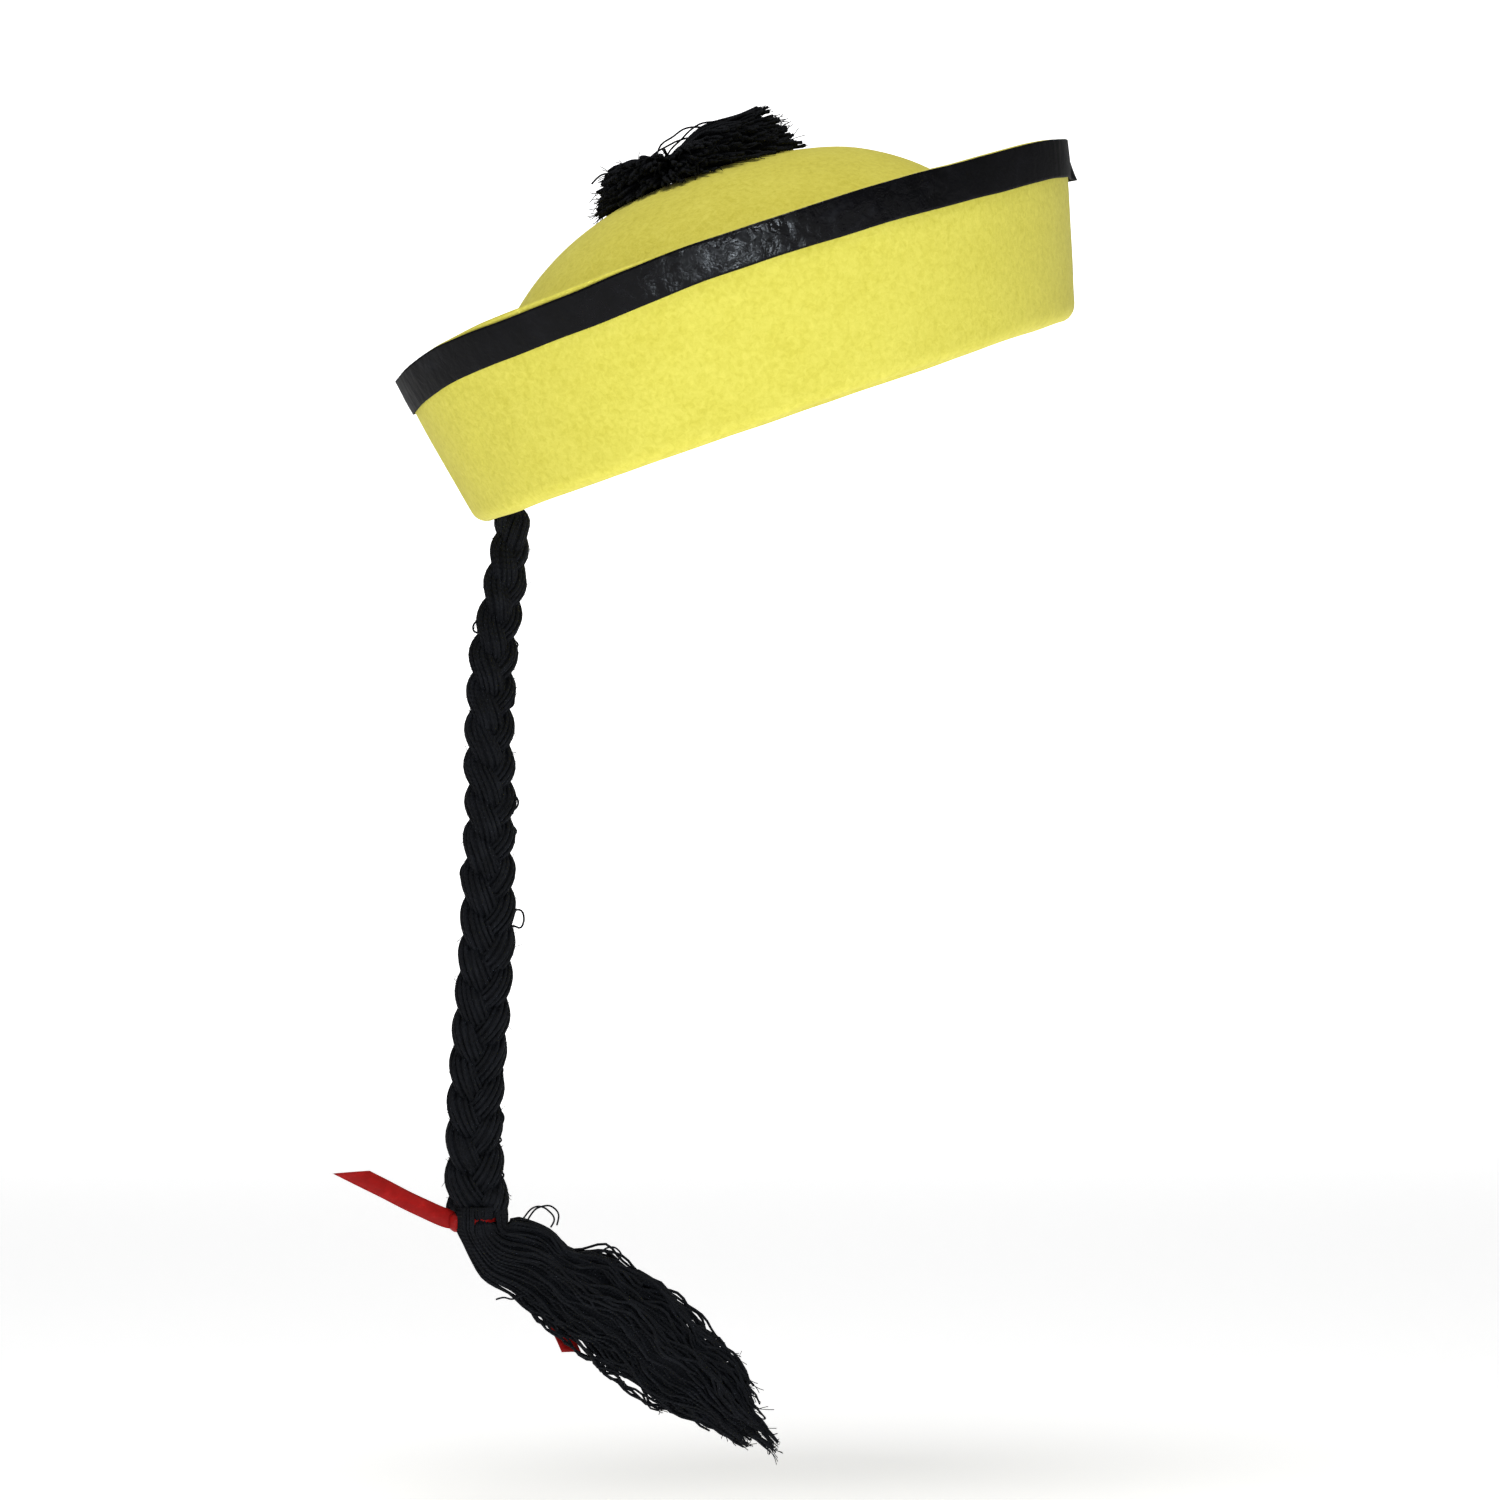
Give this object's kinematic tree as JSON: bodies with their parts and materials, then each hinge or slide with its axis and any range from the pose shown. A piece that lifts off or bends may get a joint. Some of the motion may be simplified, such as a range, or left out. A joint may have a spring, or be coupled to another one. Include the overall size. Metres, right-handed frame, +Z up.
{
  "type": "felt costume hat with a plaited pigtail",
  "caption": "Domed felt costume hat with a turned-up, tape-edged brim, a yarn tuft on the crown, and a plaited yarn pigtail with a ribbon tie and tassel.",
  "frame": {"origin": "centre of the opening that the head goes in, at the level of the fold's lowest line", "axes": "+X to the front of the hat, +Y to the wearer's left, +Z up; the hat is tipped back 19.3 degrees as worn, so the opening's normal leans towards -X"},
  "size_m": [0.2603, 0.2214, 0.472],
  "materials": {
    "felt_yellow": "soft matt moulded felt",
    "satin_black": "crinkled satin tape",
    "yarn_black": "matt twisted acrylic yarn",
    "ribbon_red": "satin ribbon"
  },
  "bodies": {
    "root": {"felt_body": "felt_yellow", "brim_tape": "satin_black", "crown_tuft": "yarn_black", "braid": "yarn_black", "braid_tassel": "yarn_black", "tie_ribbon": "ribbon_red"}
  },
  "joints": []
}
